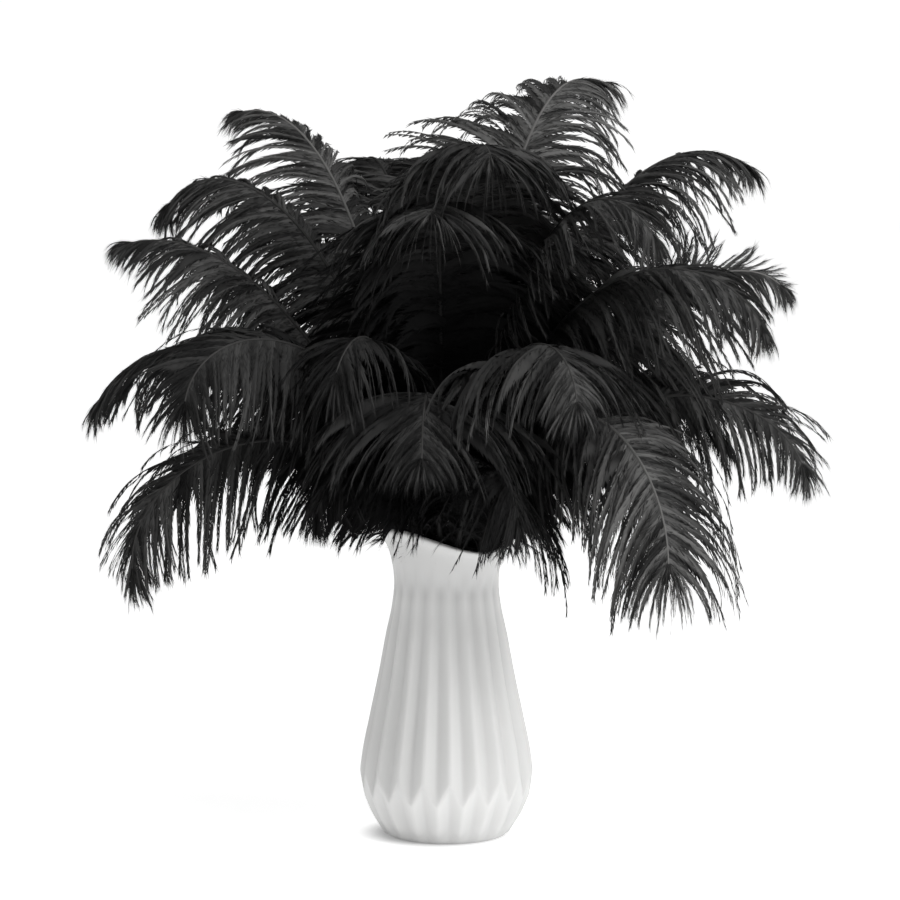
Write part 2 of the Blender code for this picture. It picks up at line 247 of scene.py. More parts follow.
class Graph:
    """The nodes of a material or of the world, added one by one."""

    def __init__(self, owner: "bpy.types.Material | bpy.types.World", shader: str) -> None:
        """Turns the owner's nodes on and finds the shader among them.

        Args:
            owner: The material or world.
            shader: The name of its shader's node.
        """
        self.owner = owner
        self.owner.use_nodes = True
        self.nodes = owner.node_tree.nodes
        self.links = owner.node_tree.links
        self.shader = self.nodes[shader]

    @classmethod
    def of_material(cls, name: str) -> "Graph":
        """A new material, which holds one Principled shader."""
        return cls(bpy.data.materials.new(name), "Principled BSDF")

    @classmethod
    def of_world(cls, name: str) -> "Graph":
        """A new world, which holds one Background."""
        return cls(bpy.data.worlds.new(name), "Background")

    def feed(self, socket: bpy.types.NodeSocket, value: object) -> None:
        """Links a socket to another, or sets its value.

        Args:
            socket: The input.
            value: A Socket to link, or a plain value.
        """
        if isinstance(value, Socket):
            self.links.new(value.socket, socket)
        else:
            socket.default_value = value

    def node(
        self, kind: str, settings: dict | None = None, inputs: dict | None = None, out: object = 0
    ) -> Socket:
        """Adds a node.

        Args:
            kind: The node's type.
            settings: What is set on the node before its sockets.
            inputs: The value or link of each socket, by name or number.
            out: The name or number of the output.

        Returns:
            The node's output.
        """
        made = self.nodes.new(kind)
        for key, value in (settings or {}).items():
            setattr(made, key, value)
        for key, value in (inputs or {}).items():
            self.feed(made.inputs[key], value)
        return Socket(self, made.outputs[out])

    def math(self, operation: str, first: Socket | float, second: Socket | float) -> Socket:
        """A Math node on two values."""
        return self.node("ShaderNodeMath", {"operation": operation}, {0: first, 1: second})

    def mix(self, share: Socket, first: tuple, second: tuple) -> Socket:
        """A colour between two others.

        Args:
            share: The second colour's share.
            first: The colour at 0.
            second: The colour at 1.

        Returns:
            The Mix node's colour.
        """
        return self.node(
            "ShaderNodeMix",
            {"data_type": "RGBA"},
            {"Factor": share, 6: (*first, 1.0), 7: (*second, 1.0)},
            out=2,
        )

    def attribute(self, key: str) -> Socket:
        """The value that the mesh's points carry under a name."""
        return self.node("ShaderNodeAttribute", {"attribute_name": key}, out="Fac")

    def noise(self, scale: float, detail: float) -> Socket:
        """Noise in the object's own space.

        Args:
            scale: How many waves a metre has.
            detail: How many finer layers it has.

        Returns:
            The noise's value.
        """
        place = self.node("ShaderNodeTexCoord", out="Object")
        return self.node(
            "ShaderNodeTexNoise", inputs={"Vector": place, "Scale": scale, "Detail": detail}
        )

    def soft_step(self, value: Socket, reach: tuple, ends: tuple = (0.0, 1.0)) -> Socket:
        """Goes softly from the first end to the second as the value crosses its reach.

        Args:
            value: What is looked at.
            reach: The values where the change starts and ends.
            ends: What comes out below the reach and above it.

        Returns:
            The Map Range node's result.
        """
        levels = {"From Min": reach[0], "From Max": reach[1], "To Min": ends[0], "To Max": ends[1]}
        return self.node(
            "ShaderNodeMapRange",
            {"interpolation_type": "SMOOTHSTEP"},
            {"Value": value, **levels},
        )

    def dress(self, **sockets: object) -> "bpy.types.Material | bpy.types.World":
        """Sets the shader's sockets, an underscore standing for a space.

        Args:
            **sockets: The value or link of each socket, by name.

        Returns:
            The owner, dressed.
        """
        for key, value in sockets.items():
            self.feed(self.shader.inputs[key.replace("_", " ")], value)
        return self.owner


@dataclass(frozen=True)
class BarbBlack:
    """Dyed barbs: near black; painted light greys them, unevenly by lock and noise, and a little
    more and browner towards the tips.
    """

    deep: tuple = (0.0035, 0.0035, 0.0037)
    pale: tuple = (0.120, 0.119, 0.117)
    dust_noise: tuple = (90.0, 2.0)
    dust: tuple = (0.8, 0.8)
    tip_painted_light: float = 0.1
    roughness: float = 0.7
    spread: float = 0.2
    sheen: float = 0.3
    gloss: float = 0.1

    def material(self) -> bpy.types.Material:
        """The barbs' material.

        Returns:
            The material, which reads tone, run and core.
        """
        graph = Graph.of_material("plume_barbs")
        dust = graph.noise(*self.dust_noise)
        core = graph.attribute("core")
        # Painted light: the grey rises with core, the painted light on lit ribs and outer arcs,
        # times the random tone and noise; towards the tips it rises more.
        lit = core * graph.attribute("tone") * (dust * self.dust[1] + self.dust[0])
        share = lit + core * graph.attribute("run") * self.tip_painted_light
        return graph.dress(
            Base_Color=graph.mix(share, self.deep, self.pale),
            Roughness=self.roughness + dust * self.spread - core * self.sheen,
            Specular_IOR_Level=self.gloss,
        )


@dataclass(frozen=True)
class QuillBlack:
    """The dyed quill: horn that is smoother and greyer than the barbs."""

    deep: tuple = (0.004, 0.004, 0.004)
    pale: tuple = (0.17, 0.167, 0.163)
    streak_noise: tuple = (160.0, 3.0)
    streaks: float = 0.1
    roughness: float = 0.4
    spread: float = 0.2
    gloss: float = 0.15

    def material(self) -> bpy.types.Material:
        """The quill's material.

        Returns:
            The material, which reads tone and run.
        """
        graph = Graph.of_material("plume_quill")
        streak = graph.noise(*self.streak_noise)
        share = graph.attribute("run") * graph.attribute("tone") + streak * self.streaks
        return graph.dress(
            Base_Color=graph.mix(share, self.deep, self.pale),
            Roughness=self.roughness + streak * self.spread,
            Specular_IOR_Level=self.gloss,
        )


@dataclass(frozen=True)
class WhiteCeramic:
    """The vase's satin white glaze, very slightly uneven, mixed from a lit colour towards a painted
    shade colour.
    """

    # light is the lit glaze colour and shade the painted shade colour.
    light: tuple = (0.78, 0.78, 0.77)
    shade: tuple = (0.56, 0.56, 0.555)
    cloud_noise: tuple = (18.0, 4.0)
    clouds: float = 0.3
    grain_noise: tuple = (900.0, 3.0)
    grain: float = 0.06
    grain_depth: float = 0.0004
    roughness: float = 0.42
    spread: float = 0.12

    def material(self) -> bpy.types.Material:
        """The glaze's material.

        Returns:
            The material, which reads core, the painted shade.
        """
        graph = Graph.of_material("white_ceramic")
        cloud = graph.noise(*self.cloud_noise)
        # Painted shade: the glaze goes towards its shade colour by the painted shading, and a
        # little by random clouds.
        share = cloud * self.clouds + graph.attribute("core")
        bump = graph.node(
            "ShaderNodeBump",
            inputs={
                "Strength": self.grain,
                "Distance": self.grain_depth,
                "Height": graph.noise(*self.grain_noise),
            },
        )
        return graph.dress(
            Base_Color=graph.mix(share, self.light, self.shade),
            Roughness=self.roughness + cloud * self.spread,
            Normal=bump,
        )


# --- The vase -------------------------------------------------------------


@dataclass(frozen=True)
class Vase:
    """The fluted vase: outside, wavy lip and inside as one skin.

    A key is a place on the profile: the radius and height on an upper ridge
    and those on an upper valley. A flare key has its share of the way from the
    neck to the wavy rim, and its radius. A painted shade is how dark the glaze
    is painted where shade falls, in the valleys, at the collar under the plumes
    and towards the foot: its strength, the level where it starts and the height
    over which it grows.
    """

    flutes: int = 20
    turn: float = 2.4
    columns: int = 10
    softness: float = 0.1
    foot: tuple = ((41.2, 0.0), (41.2, 0.0))
    chamfer: tuple = ((42.9, 1.5), (44.2, 1.5))
    petals: tuple = ((49.7, 14.75), (52.7, 14.75))
    crease: tuple = ((61.2, 44.0), (59.2, 29.5))
    body: tuple = (
        ((59.5, 58.0), (54.5, 58.0)),
        ((53.9, 86.0), (49.1, 86.0)),
        ((48.0, 114.0), (43.8, 114.0)),
        ((42.7, 142.0), (39.5, 142.0)),
        ((38.2, 163.0), (36.8, 163.0)),
    )
    neck: tuple = (36.8, 177.0)
    neck_fold: float = 1.4
    flare: tuple = ((0.45, 38.4), (0.8, 42.2), (0.96, 45.4))
    lip: tuple = ((1.0, 43.6),)
    inner_flare: tuple = ((0.96, 41.7), (0.45, 34.2))
    inner: tuple = ((32.4, 177.0), (38.0, 130.0), (44.5, 86.0), (51.5, 44.0), (46.0, 20.0))
    floor: tuple = (38.0, 8.0)
    lower_rows: tuple = (5, 8)
    upper_rows: tuple = (9, 8, 8, 8, 6, 5, 5, 5, 4, 4, 4, 6, 5, 5, 4, 4, 4, 4)
    roundings: int = 2
    map_rows: tuple = (0.02, 0.98)
    rim: float = 210.5
    wave: float = 7.5
    wave_turn: float = 40.0
    wall: float = 5.0
    # Painted shade on the glaze: dark in the flutes' valleys, at the collar under the plumes and
    # towards the foot.
    collar_painted_shade: tuple = (0.7, 164.0, 18.0)
    petal_painted_shade: tuple = (0.5, 40.0, -30.0)
    foot_painted_shade: tuple = (0.5, 12.0, -12.0)
    valley_painted_least: float = 0.35
    valley_painted_rise: tuple = (0.35, 90.0, 60.0)
    valley_painted_fade: tuple = (1.0, 182.0, -12.0)

    def angles(self) -> np.ndarray:
        """The columns' angles."""
        count = self.flutes * self.columns
        return self.turn + np.arange(count) * 360.0 / count

    def fold(self) -> np.ndarray:
        """0 on an upper ridge and 1 in a valley, rounded at both.

        Returns:
            The fold of each column.
        """
        place = np.mod(np.arange(self.flutes * self.columns) / self.columns, 1.0)
        fold = 1.0 - np.abs(2.0 * place - 1.0)
        soft = self.softness
        fold = np.where(fold < soft, fold * fold / (2 * soft) + soft / 2, fold)
        back = 1.0 - fold
        return np.where(back < soft, 1.0 - (back * back / (2 * soft) + soft / 2), fold)

    def rim_level(self, degrees: np.ndarray) -> np.ndarray:
        """The rim's height at an angle."""
        return self.rim + self.wave * np.cos(np.radians(2.0 * (degrees - self.wave_turn)))

    def folded(self, key: tuple) -> np.ndarray:
        """A key's radius and height for every column."""
        share = self.fold()[:, None]
        return np.array(key[0]) * (1.0 - share) + np.array(key[1]) * share

    def flared(self, key: tuple) -> np.ndarray:
        """A flare key's radius and height for every column.

        Args:
            key: Its share of the way up to the rim, and its radius.

        Returns:
            The radii and heights, of shape (columns, 2).
        """
        level = self.rim_level(self.angles())
        height = self.neck[1] + (level - self.neck[1]) * key[0]
        return np.stack([np.full_like(height, key[1]), height], -1)

    def rows(self) -> np.ndarray:
        """The profile's rows of (radius, height), from foot to inner floor.

        Returns:
            The rows, of shape (rows, columns, 2).
        """
        lower = [self.folded(key) for key in (self.chamfer, self.petals, self.crease)]
        upper = [self.folded(key) for key in (self.crease, *self.body)]
        upper.append(self.folded((self.neck, (self.neck[0] - self.neck_fold, self.neck[1]))))
        upper += [self.flared(key) for key in (*self.flare, *self.lip, *self.inner_flare)]
        upper += [self.folded((key, key)) for key in (*self.inner, self.floor)]
        first = spline(lower, self.lower_rows)
        second = spline(upper, self.upper_rows)
        rows = np.concatenate([[self.folded(self.foot)], first, second[1:]])
        crease = len(first)
        for _ in range(self.roundings):
            near = rows[crease - 3 : crease + 4].copy()
            rows[crease - 2 : crease + 3] = (near[:-2] + 2.0 * near[1:-1] + near[2:]) / 4.0
        return rows

    def surface(self) -> Surface:
        """The vase's skin, closed at the foot and at the inner floor.

        Returns:
            The surface, its core being the painted shade on the glaze.
        """
        rows = self.rows()
        angles = np.radians(self.angles())[None, :]
        radius, height = rows[..., 0], rows[..., 1]
        points = np.stack([radius * np.cos(angles), radius * np.sin(angles), height], -1)
        count_rows, count = radius.shape
        ends = np.array([(0.0, 0.0, 0.0), (0.0, 0.0, self.floor[1])])
        grid = np.arange(count_rows * count).reshape(count_rows, count)
        faces = skin(grid, (grid.size, grid.size + 1))
        u, v = np.meshgrid(np.arange(count) / count, np.linspace(*self.map_rows, count_rows))
        uv = np.concatenate([np.stack([u, v], -1).reshape(-1, 2), [(0.5, 0.0), (0.5, 1.0)]])
        whole = np.concatenate([points.reshape(-1, 3), ends])
        blank = np.zeros(len(whole))
        fold = np.append(np.broadcast_to(self.fold(), (count_rows, count)).ravel(), [0.0, 0.0])
        core = self.glaze_painted_shade(whole[:, 2], fold)
        return Surface(whole, faces, uv, blank, blank, core)

    def glaze_painted_shade(self, level: np.ndarray, fold: np.ndarray) -> np.ndarray:
        """The painted shade on the glaze: in the valleys, at the collar and towards the foot.

        Args:
            level: The points' heights.
            fold: 0 for a point on an upper ridge and 1 for one in a valley.

        Returns:
            The painted shade at each point.
        """

        def painted_shade_at(key: tuple) -> np.ndarray:
            """A painted shade at the points' heights."""
            return key[0] * ease((level - key[1]) / key[2])

        # Painted shade in the valleys, which grows with height and fades out at the collar.
        crease = between((self.crease[0][1], self.crease[1][1]), fold)
        valley = np.where(level < crease, 1.0 - fold, fold)
        valley = valley * (self.valley_painted_least + painted_shade_at(self.valley_painted_rise))
        valley = valley * painted_shade_at(self.valley_painted_fade)
        low = painted_shade_at(self.petal_painted_shade) + painted_shade_at(self.foot_painted_shade)
        return valley + painted_shade_at(self.collar_painted_shade) + low

    def build(self) -> bpy.types.Object:
        """The vase, dressed, in place of its solid.

        Returns:
            The vase's object.
        """
        surface = self.surface()
        glaze = WhiteCeramic().material()
        thing = mesh_object("vase_glazed", surface, np.zeros(len(surface.faces)), [glaze])
        stand_for(thing, "vase")
        return thing

    def outer_radius(self, height: np.ndarray) -> np.ndarray:
        """The outside's largest radius at a height, for what hangs against it.

        Args:
            height: Heights in millimetres.

        Returns:
            The radius at each.
        """
        keys = [self.crease[0], *(key[0] for key in self.body), self.neck]
        keys += [(r, self.neck[1] + (self.rim - self.neck[1]) * share) for share, r in self.flare]
        return np.interp(height, [key[1] for key in keys], [key[0] for key in keys])

    def keep_out(self, points: np.ndarray, margin: float) -> np.ndarray:
        """Moves points out of the upper wall: up, outwards or inwards.

        Args:
            points: Points of shape (count, 3).
            margin: How far from the wall they have to be.

        Returns:
            The points, those in the wall moved by the shortest way.
        """
        radius = np.hypot(points[:, 0], points[:, 1])
        level = self.rim_level(np.degrees(np.arctan2(points[:, 1], points[:, 0])))
        outside = self.outer_radius(points[:, 2]) + margin
        inside = outside - 2.0 * margin - self.wall
        in_wall = (radius < outside) & (radius > inside) & (points[:, 2] < level + margin)
        moves = np.stack([level + margin - points[:, 2], outside - radius, radius - inside])
        best = np.argmin(moves, 0)
        moved = points.copy()
        moved[:, 2] = np.where(in_wall & (best == 0), level + margin, points[:, 2])
        wanted = np.select([best == 1, best == 2], [outside, inside], radius)
        scale = np.where(in_wall, wanted / np.maximum(radius, 1e-6), 1.0)
        moved[:, :2] *= scale[:, None]
        return moved


def spline(keys: list[np.ndarray], counts: tuple) -> np.ndarray:
    """Rows on smooth curves through keys.

    Args:
        keys: Arrays of shape (columns, 2), one curve running through each column.
        counts: How many rows each stretch between two keys gets.

    Returns:
        The rows, with both ends, of shape (rows, columns, 2).
    """
    keys = np.stack(keys)
    gap = np.maximum(np.linalg.norm(np.diff(keys, axis=0), axis=-1, keepdims=True), 1e-6)
    slope = np.diff(keys, axis=0) / gap
    middle = (slope[:-1] * gap[1:] + slope[1:] * gap[:-1]) / (gap[:-1] + gap[1:])
    tangents = np.concatenate([slope[:1], middle, slope[-1:]])
    rows = []
    for k, count in enumerate(counts):
        t = (np.arange(count) / count)[:, None, None]
        h = gap[k]
        rows.append(
            keys[k] * (2 * t**3 - 3 * t**2 + 1)
            + tangents[k] * h * (t**3 - 2 * t**2 + t)
            + keys[k + 1] * (3 * t**2 - 2 * t**3)
            + tangents[k + 1] * h * (t**3 - t**2)
        )
    return np.concatenate([*rows, keys[-1:]])


def stand_for(thing: bpy.types.Object, node: str) -> None:
    """Lets a piece ride on the one body and stand for its solid.

    Args:
        thing: The piece.
        node: The solid's node.
    """
    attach(thing, BODY)
    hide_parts(node)
    log.info("%s stands for %s", thing.name, node)


VASE = Vase()


# --- The plumes -----------------------------------------------------------


class Ring(Enum):
    """The rings on which the quills stand at the neck: radius, places."""

    OUTER = (28.0, 22)
    INNER = (19.0, 7)


@dataclass(frozen=True)
class Quill:
    """How the quills stand in the vase and taper, and their groove.

    They stand at the neck's level and lean by the turn round the vase's axis.
    The radius is that at the foot and that at the tip.
    """

    neck_level: float = 180.0
    vase_floor: float = 8.0
    foot_gap: float = 0.5
    turn: float = 6.0
    side_follow: float = 0.7
    end: float = 0.93
    fine_steps: int = 401
    radius: tuple = (1.9, 0.45)
    sides: int = 10
    low_rings: tuple = (0.0, 0.5, 0.97)
    rings: int = 45
    height: float = 0.85
    groove: float = 0.3
    groove_width: float = 0.35


@dataclass(frozen=True)
class Feathering:
    """How the barbs grow from the quills, hang and gather in locks.

    The tip angle is that of stiff barbs and that of hanging ones. The painted
    light on the barbs, never under least_shade, grows over the first value of
    its rise, less the second for each dark, so that the outer arcs look lit.
    """

    level: float = 226.0
    open_angle: float = 66.0
    tip_angle: tuple = (30.0, 58.0)
    close_from: float = 0.45
    first: float = 0.6
    full_at: float = 0.3
    lean: float = 0.15
    more_droop: float = 0.1
    droop: tuple = (0.15, 0.95)
    stiff: float = 0.45
    stiff_from: float = 0.6
    fall_power: float = 0.9
    curl: tuple = (0.05, 0.6)
    way: float = 0.3
    way_range: tuple = (-0.9, 0.7)
    steps: int = 22
    lock: tuple = (1, 2, 2, 3)
    overreach: float = 1.12
    gather: float = 0.76
    gather_power: float = 0.9
    wall_room: float = 1.6
    least_shade: float = 0.05
    shade_rise: tuple = (0.7, 0.5)


@dataclass(frozen=True)
class Hooking:
    """How lifted barbs differ when they curl back over the quill.

    Their droop grows by the hook times the first value, and by the second.
    """

    shorter: float = 0.3
    droop: tuple = (0.65, -0.2)
    fall_power: float = 0.35
    apart: float = 0.8


@dataclass(frozen=True)
class Looseness:
    """How unlike one another locks are, and then the barbs of one lock."""

    angle: tuple = (4.0, 2.0)
    lean: tuple = (0.08, 0.03)
    length: tuple = (0.09, 0.05)
    droop: float = 0.06
    curl: float = 0.35
    way: float = 0.7


@dataclass(frozen=True)
class Tuft:
    """The fan of barbs that rounds off a tip.

    Lean, length and curl are ranges. Limp is how much of the droop stiff barbs
    have, and hanging ones.
    """

    count: int = 30
    stretch: int = 10
    angle: float = 0.08
    lean: tuple = (-0.25, 0.3)
    length: tuple = (0.45, 0.9)
    limp: tuple = (0.55, 1.0)
    droop: float = 0.05
    droop_range: tuple = (0.1, 0.9)
    curl: tuple = (0.0, 0.5)
    way: float = 0.3
    web: float = 1.4


@dataclass(frozen=True)
class Down:
    """The loose down at a vane's start, each pair a range."""

    count: int = 12
    levels: tuple = (200.0, 244.0)
    angle: tuple = (35.0, 95.0)
    turn: tuple = (-80.0, 80.0)
    length: tuple = (18.0, 36.0)
    droop: tuple = (0.25, 0.6)
    curl: tuple = (0.0, 0.8)
    # Painted light on the down: little, so that it stays dark in the bouquet's shade.
    shade: float = 0.1


@dataclass(frozen=True)
class Barbules:
    """The teeth on both sides of each barb.

    Their length changes along the quill, their angle along the barb, both from
    the first value to the second. A spread is a range of random factors.
    """

    count: int = 20
    quick_part: int = 3
    length: tuple = (10.0, 9.0)
    length_rise: tuple = (0.1, 0.4)
    first: float = 0.35
    full_at: float = 0.12
    angle: tuple = (13.5, 7.5)
    angle_to: float = 0.8
    length_spread: tuple = (0.7, 1.2)
    angle_spread: tuple = (0.5, 1.5)
    turn: float = 30.0
    sag: float = 0.1
    least_tone: float = 0.1
    # Painted light: a strip's edge gets this share of its spine's painted light, and the teeth's
    # tips none.
    edge_shade: float = 0.7


@dataclass(frozen=True)
class Strip:
    """How wide a barb's strip is, and where it leaves the next barb's.

    The loose ranges are for the last barb of each lock.
    """

    width: tuple = (0.75, 0.25)
    taper_from: float = 0.5
    leave: float = 0.25
    leave_loose: tuple = (0.03, 0.14)
    end: float = 0.62
    end_loose: tuple = (0.26, 0.5)
    least_web: float = 0.1


@dataclass(frozen=True)
class RowMap:
    """How a plume's map is shared out: a row for each barb, then the quill.

    Half is half a strip's width in rows, and teeth how many times as far from
    the row's middle the teeth end. The quill has its band's start and width.
    """

    barbs: float = 0.96
    half: float = 0.2
    teeth: float = 2.2
    quill: tuple = (0.965, 0.03)
    quill_ends: float = 0.98


QUILL, FEATHERING, HOOKING, LOOSENESS = Quill(), Feathering(), Hooking(), Looseness()
TUFT, DOWN, BARBULES, STRIP, ROW_MAP = Tuft(), Down(), Barbules(), Strip(), RowMap()


@dataclass
class Sprays:
    """Barbs to be grown: where each starts, which way, how long and limp.

    The rachis is the quill's direction at the barb's root, and the shade the
    painted light that greys the barb.
    """

    root: np.ndarray
    start: np.ndarray
    rachis: np.ndarray
    length: np.ndarray
    droop: np.ndarray
    fall_power: float
    curl: np.ndarray
    curl_way: np.ndarray
    lock: np.ndarray
    tooth: np.ndarray
    shade: np.ndarray
    gather: float
    web: float


@dataclass(frozen=True)
class Plume:
    """One plume: where it stands, how it arches and how its vane hangs.

    The quill follows a curve in the upright plane of its heading. Its three
    points are (out from the vase's axis, height). A roll of so many degrees
    lifts the first vane and lowers the second. A hook of 1 curls the lifted
    barbs back over the quill, a negative one raises them. A sweep lays them so
    many degrees towards the tip, and lay does so with the lowered barbs. A
    twist is how much the roll has changed at the tip, and a turn is the vane's
    turn about the upright. A hang of 1 keeps the barbs open and limp up to the
    tip, like an umbrella. The web says how far from the quill the barbs still
    touch, and under how long the lowered vane is beside the lifted one. Light
    is the painted light that greys the barbs, low for plumes in the bouquet's
    shade, and dark where along the quill that painted light begins. Bare says
    how grey the quill gets.
    """

    node: str
    heading: float
    ring: Ring
    seat: int
    lift: tuple
    crest: tuple
    tip: tuple
    barb: float = 70.0
    droop: float = 0.55
    tip_share: float = 0.35
    full_to: float = 0.65
    roll: float = 0.0
    hook: float = 0.0
    sweep: float = 0.0
    lay: float = 0.0
    twist: float = 0.0
    turn: float = 0.0
    hang: float = 0.0
    web: float = 1.1
    under: float = 1.0
    spacing: float = 1.7
    light: float = 0.65
    dark: float = 0.15
    bare: float = 0.2

    def quill_line(self) -> tuple[np.ndarray, np.ndarray]:
        """Fine points of the quill above the neck, and the seat's angle.

        Returns:
            The points, of shape (count, 3), and the angle.
        """
        radius, places = self.ring.value
        seat_angle = self.seat * 360.0 / places
        out, side = polar(1.0, self.heading, 0.0), polar(1.0, self.heading + 90.0, 0.0)
        seat = polar(radius, seat_angle, QUILL.neck_level)
        lift, crest, tip = (
            out * key[0] + UP * key[1] for key in (self.lift, self.crest, self.tip)
        )
        lift = lift + side * (seat @ side) * QUILL.side_follow
        t = np.linspace(0.0, QUILL.end, QUILL.fine_steps)[:, None]
        r = 1.0 - t
        return seat * r**3 + lift * 3 * r * r * t + crest * 3 * r * t * t + tip * t**3, seat_angle

    def foot(self, seat: np.ndarray, seat_angle: float) -> np.ndarray:
        """Where the quill stands just over the vase's floor.

        Args:
            seat: Where it passes the neck.
            seat_angle: The angle of that place.

        Returns:
            The foot's point.
        """
        drop = QUILL.neck_level - QUILL.vase_floor - QUILL.foot_gap
        sideways = drop * math.tan(math.radians(QUILL.turn))
        return seat - UP * drop - polar(1.0, seat_angle + 90.0, 0.0) * sideways

    def axes(self, tangent: np.ndarray, share: np.ndarray) -> tuple[np.ndarray, np.ndarray]:
        """Sideways and upper directions beside tangents of the quill.

        Args:
            tangent: The tangents, of shape (count, 3).
            share: How far along the vane each is.

        Returns:
            The directions to the first vane's side and to the upper side.
        """
        side = polar(1.0, self.heading + 90.0 + self.turn, 0.0)
        level = unit(side - tangent * (tangent @ side)[:, None])
        over = np.cross(tangent, level)
        side = swung(level, over, np.radians(self.roll + self.twist * share))
        return side, np.cross(tangent, side)

    def quill(self, line: np.ndarray, foot: np.ndarray) -> Surface:
        """The quill as a tapering tube with a shallow groove underneath.

        Args:
            line: Fine points of the quill above the neck.
            foot: Where it stands.

        Returns:
            The tube, closed at both ends.
        """
        q = QUILL
        fine = along(line[None], q.rings)[0]
        low = [foot + (fine[0] - foot) * share for share in q.low_rings]
        centres = np.concatenate([low, fine])
        tangent = unit(np.gradient(centres, axis=0))
        run = np.concatenate([np.zeros(len(low)), np.linspace(0.0, 1.0, len(fine))])
        side, upper = self.axes(tangent, run)
        radius = between(q.radius, run)
        count, sides = len(centres), q.sides
        turn, underside = np.arange(sides) * 2.0 * math.pi / sides, 1.5 * math.pi
        groove = 1.0 - q.groove * np.exp(-(((turn - underside) / q.groove_width) ** 2))
        across = (np.cos(turn) * groove)[None, :, None] * side[:, None]
        upward = (np.sin(turn) * groove * q.height)[None, :, None] * upper[:, None]
        rings = centres[:, None] + (across + upward) * radius[:, None, None]
        grid = np.arange(count * sides).reshape(count, sides)
        faces = skin(grid, (grid.size, grid.size + 1))
        points = np.concatenate([rings.reshape(-1, 3), centres[:1], centres[-1:]])
        start, band = ROW_MAP.quill
        v, u = np.meshgrid(start + band * np.arange(sides) / sides, np.linspace(0.0, 1.0, count))
        ends = [(0.0, ROW_MAP.quill_ends), (1.0, ROW_MAP.quill_ends)]
        uv = np.concatenate([np.stack([u, v], -1).reshape(-1, 2), ends])
        runs = np.concatenate([np.repeat(run, sides), [0.0, 1.0]])
        tone = np.full(len(points), self.bare)
        return Surface(points, faces, uv, tone, runs, runs * 0.0, finish=1)

    def stations(self, line: np.ndarray) -> tuple[np.ndarray, np.ndarray, np.ndarray]:
        """Roots evenly spaced along the vane, tangents there and shares.

        Args:
            line: Fine points of the quill.

        Returns:
            The roots, the tangents, and how far along the vane each root is.
        """
        fine = line[reached(line, FEATHERING.level) :]
        tangent = unit(np.gradient(fine, axis=0))
        length = np.concatenate([[0.0], np.cumsum(np.linalg.norm(np.diff(fine, axis=0), axis=1))])
        wanted = np.linspace(0.0, length[-1], round(float(length[-1]) / self.spacing))
        root, way = (
            np.stack([np.interp(wanted, length, values[:, k]) for k in range(3)], -1)
            for values in (fine, tangent)
        )
        return root, unit(way), wanted / length[-1]

    def vane(self, line: np.ndarray, sign: float, rng: np.random.Generator) -> Sprays:
        """The barbs of one side, gathered in locks of unequal length.

        Args:
            line: Fine points of the quill.
            sign: 1 for the first side and -1 for the second.
            rng: The plume's random numbers.

        Returns:
            The barbs to be grown.
        """
        f, loose = FEATHERING, LOOSENESS
        root, tangent, share = self.stations(line)
        side, upper = self.axes(tangent, share)
        lock = lock_numbers(len(root), rng)
        lifted = max(0.0, sign * math.sin(math.radians(self.roll)))
        lowered = sign * self.roll < 0.0
        hooked = lifted * self.hook
        close = ease((share - f.close_from) / (1.0 - f.close_from))
        angle = between((f.open_angle, self.tip_angle()), close)
        angle -= self.sweep * (lifted > 0.0) + self.lay * lowered
        angle = np.radians(loosened(angle, lock, loose.angle, rng))
        lean = loosened(f.lean, lock, loose.lean, rng)
        start = swung(tangent, side * sign, angle) - upper * lean[:, None]
        rise = f.first + (1.0 - f.first) * ease(share / f.full_at)
        shrink = ease((share - self.full_to) / (1.0 - self.full_to))
        length = self.barb * rise * (1.0 + (self.tip_share - 1.0) * shrink)
        length = length * f.overreach * (1.0 - HOOKING.shorter * abs(hooked))
        if lowered:
            length = length * self.under
        length = length * loosened(1.0, lock, loose.length, rng)
        stiff = f.stiff * (1.0 - self.hang)
        droop = self.droop + f.more_droop
        droop = droop * (1.0 - stiff * ease((share - f.stiff_from) / (1.0 - f.stiff_from)))
        droop = droop + (HOOKING.droop[0] * self.hook + HOOKING.droop[1]) * lifted
        droop = np.clip(droop + by_lock(lock, loose.droop, rng), *f.droop)
        curl = np.minimum(np.abs(by_lock(lock, loose.curl, rng)), f.curl[1]) + f.curl[0] + hooked
        way = np.clip(f.way + by_lock(lock, loose.way, rng), *f.way_range)
        grow_from, grow_over = BARBULES.length_rise
        tooth = between(BARBULES.length, ease((share - grow_from) / grow_over))
        # Painted light: the barbs grey further out along the quill, from dark on, by the plume's
        # light, so that the outer arcs look lit and the middle shaded.
        grey = ease((share - self.dark) / (f.shade_rise[0] - f.shade_rise[1] * self.dark))
        shade = self.light * (f.least_shade + (1.0 - f.least_shade) * grey)
        return Sprays(
            root, unit(start), tangent, length, droop, f.fall_power - HOOKING.fall_power * hooked,
            curl, tangent * way[:, None] - upper, lock, tooth, shade, f.gather,
            self.web * (1.0 - HOOKING.apart * max(hooked, 0.0)),
        )

    def tip_angle(self) -> float:
        """How far from the quill the barbs stand at its tip."""
        return between(FEATHERING.tip_angle, self.hang)

